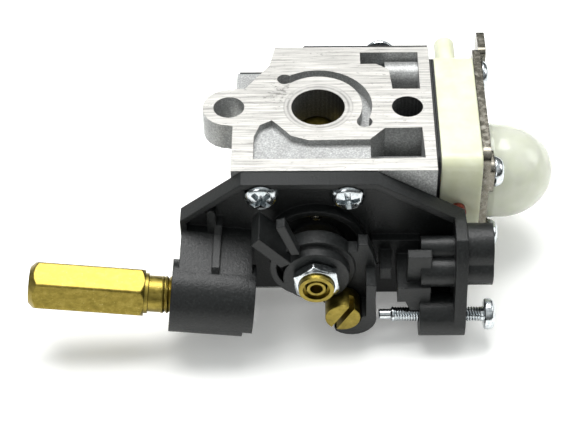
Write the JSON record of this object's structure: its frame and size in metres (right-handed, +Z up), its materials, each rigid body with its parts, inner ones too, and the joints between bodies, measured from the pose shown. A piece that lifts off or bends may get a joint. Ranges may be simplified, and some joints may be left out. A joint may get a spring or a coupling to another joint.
{
  "type": "carburetor",
  "caption": "Rotary-valve small-engine carburetor with a cable-worked throttle lever, idle screw, diaphragm stacks and a primer bulb.",
  "frame": {"origin": "centre of the assembly's footprint, on the plane of the engine flange", "axes": "+Z up along the main bore, from the engine flange to the air filter face; +X towards the primer bulb, along the idle screw; +Y away from the throttle lever, along the rotor"},
  "size_m": [0.0912, 0.0552, 0.029],
  "materials": {
    "cast_aluminium": "die cast, with machined faces",
    "black_nylon": "moulded, satin",
    "ivory_acetal": "moulded, satin",
    "brass": "turned, unpolished",
    "zinc_plate": "bright zinc plate",
    "bare_steel": "plain steel",
    "dark_plate": "dark coated plate",
    "black_rubber": "matt sheet",
    "gasket_sheet": "matt gasket sheet",
    "bulb_plastic": "milky, translucent",
    "limiter_plastic": "dark red moulding"
  },
  "bodies": {
    "carburetor": {"body": "cast_aluminium", "throttle_bracket": "black_nylon", "purge_body": "ivory_acetal", "fuel_nozzle": "brass", "bracket_screw_1": "zinc_plate", "bracket_screw_2": "zinc_plate", "plate_screw_1": "zinc_plate", "plate_screw_2": "zinc_plate", "plate_screw_3": "zinc_plate", "plate_screw_4": "zinc_plate", "pump_screw": "zinc_plate", "retainer_plate": "bare_steel", "lever_pin": "bare_steel", "lever_spring": "bare_steel", "cam_ball": "bare_steel", "inlet_screen": "bare_steel", "pump_cover": "dark_plate", "metering_diaphragm": "black_rubber", "pump_diaphragm": "black_rubber", "shaft_seal": "black_rubber", "purge_valve": "black_rubber", "metering_gasket": "gasket_sheet", "pump_gasket": "gasket_sheet", "limiter_cap": "limiter_plastic"},
    "rotor_carrier": {"rotor_spring": "bare_steel"},
    "throttle": {"throttle_rotor": "brass", "throttle_lever": "black_nylon", "lever_nut": "zinc_plate"},
    "needle": {"mixture_needle": "brass"},
    "swivel": {"cable_swivel": "brass"},
    "idle_screw": {"idle_screw": "zinc_plate"},
    "adjuster": {"cable_adjuster": "brass"},
    "bulb": {"primer_bulb": "bulb_plastic"},
    "inlet_lever": {"metering_lever": "bare_steel"},
    "inlet_valve": {"inlet_needle": "brass"}
  },
  "joints": [
    {"name": "rotor_lift", "type": "slide", "parent": "carburetor", "child": "rotor_carrier", "axis": [0, -1, 0], "range_m": [0, 0.0016], "deforming": ["rotor_spring"]},
    {"name": "throttle_turn", "type": "hinge", "parent": "rotor_carrier", "child": "throttle", "pos_m": [0.0034, -0.0165, 0.0145], "axis": [0, 1, 0], "range_deg": [0, 68], "stiffness_Nm_per_rad": 0.04, "springref_deg": -28.65},
    {"name": "needle_turn", "type": "hinge", "parent": "throttle", "child": "needle", "pos_m": [0.0034, -0.0239, 0.0145], "axis": [0, 1, 0], "range_deg": [-180, 180]},
    {"name": "swivel_turn", "type": "hinge", "parent": "throttle", "child": "swivel", "pos_m": [0.00785, -0.0214, 0.0071], "axis": [0, 1, 0], "range_deg": [-60, 80]},
    {"name": "idle_screw_turn", "type": "hinge", "parent": "carburetor", "child": "idle_screw", "pos_m": [0.02835, -0.0214, 0.0053], "axis": [1, 0, 0], "range_deg": [-180, 180]},
    {"name": "adjuster_turn", "type": "hinge", "parent": "carburetor", "child": "adjuster", "pos_m": [-0.02155, -0.0214, 0.01045], "axis": [0.9936, 0, -0.1132], "range_deg": [-180, 180]},
    {"name": "bulb_press", "type": "slide", "parent": "carburetor", "child": "bulb", "axis": [-1, 0, 0], "range_m": [0, 0.006], "stiffness_N_per_m": 600, "springref_m": -0.0002, "deforming": ["primer_bulb"]},
    {"name": "inlet_lever_turn", "type": "hinge", "parent": "carburetor", "child": "inlet_lever", "pos_m": [0.02105, 0.013, 0.0125], "axis": [0, -1, 0], "range_deg": [0, 5], "stiffness_Nm_per_rad": 0.01, "springref_deg": -1.15, "deforming": ["lever_spring"]},
    {"name": "inlet_valve_slide", "type": "slide", "parent": "carburetor", "child": "inlet_valve", "axis": [1, 0, 0], "range_m": [0, 0.00026]}
  ],
  "couplings": [
    {"joint": "throttle_turn", "follows": "rotor_lift", "rad_per_m": 741},
    {"joint": "inlet_lever_turn", "follows": "inlet_valve_slide", "rad_per_m": 333.33}
  ]
}
